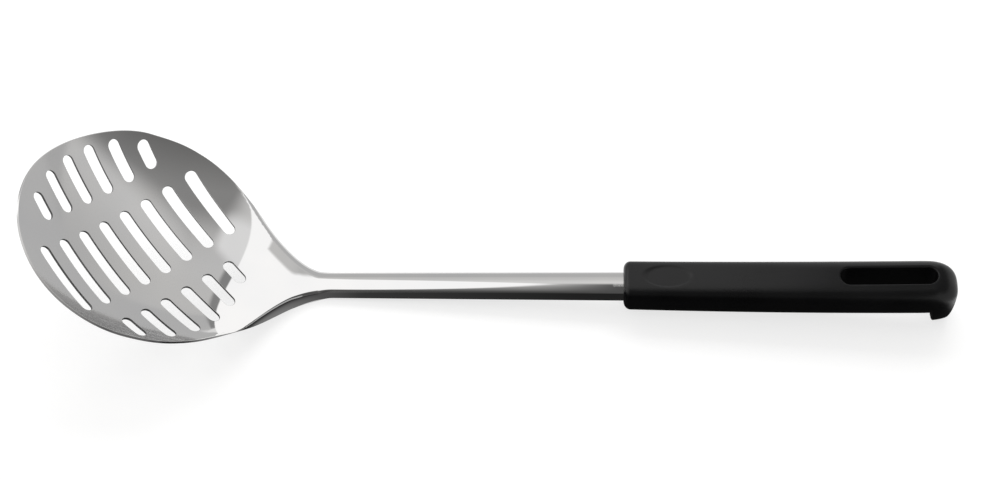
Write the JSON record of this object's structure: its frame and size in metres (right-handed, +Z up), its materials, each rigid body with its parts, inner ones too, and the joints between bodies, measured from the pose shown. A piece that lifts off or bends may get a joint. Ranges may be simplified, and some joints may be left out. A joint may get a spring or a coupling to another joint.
{
  "type": "slotted spoon",
  "caption": "Kitchen spoon with a dished steel bowl, rows of diagonal slots, an arched shank, and a moulded handle with a thumb rest, hanging slot and hook.",
  "frame": {"origin": "middle of the bounding box's underside, on the surface that the spoon lies on", "axes": "+X along the spoon from the bowl to the handle, +Z up with the bowl's hollow side up"},
  "size_m": [0.3384, 0.0872, 0.0538],
  "materials": {
    "sheet": "finely brushed, bright",
    "grip": "satin, fine grain"
  },
  "bodies": {
    "root": {"steel_spoon": "sheet", "handle": "grip"}
  },
  "joints": []
}
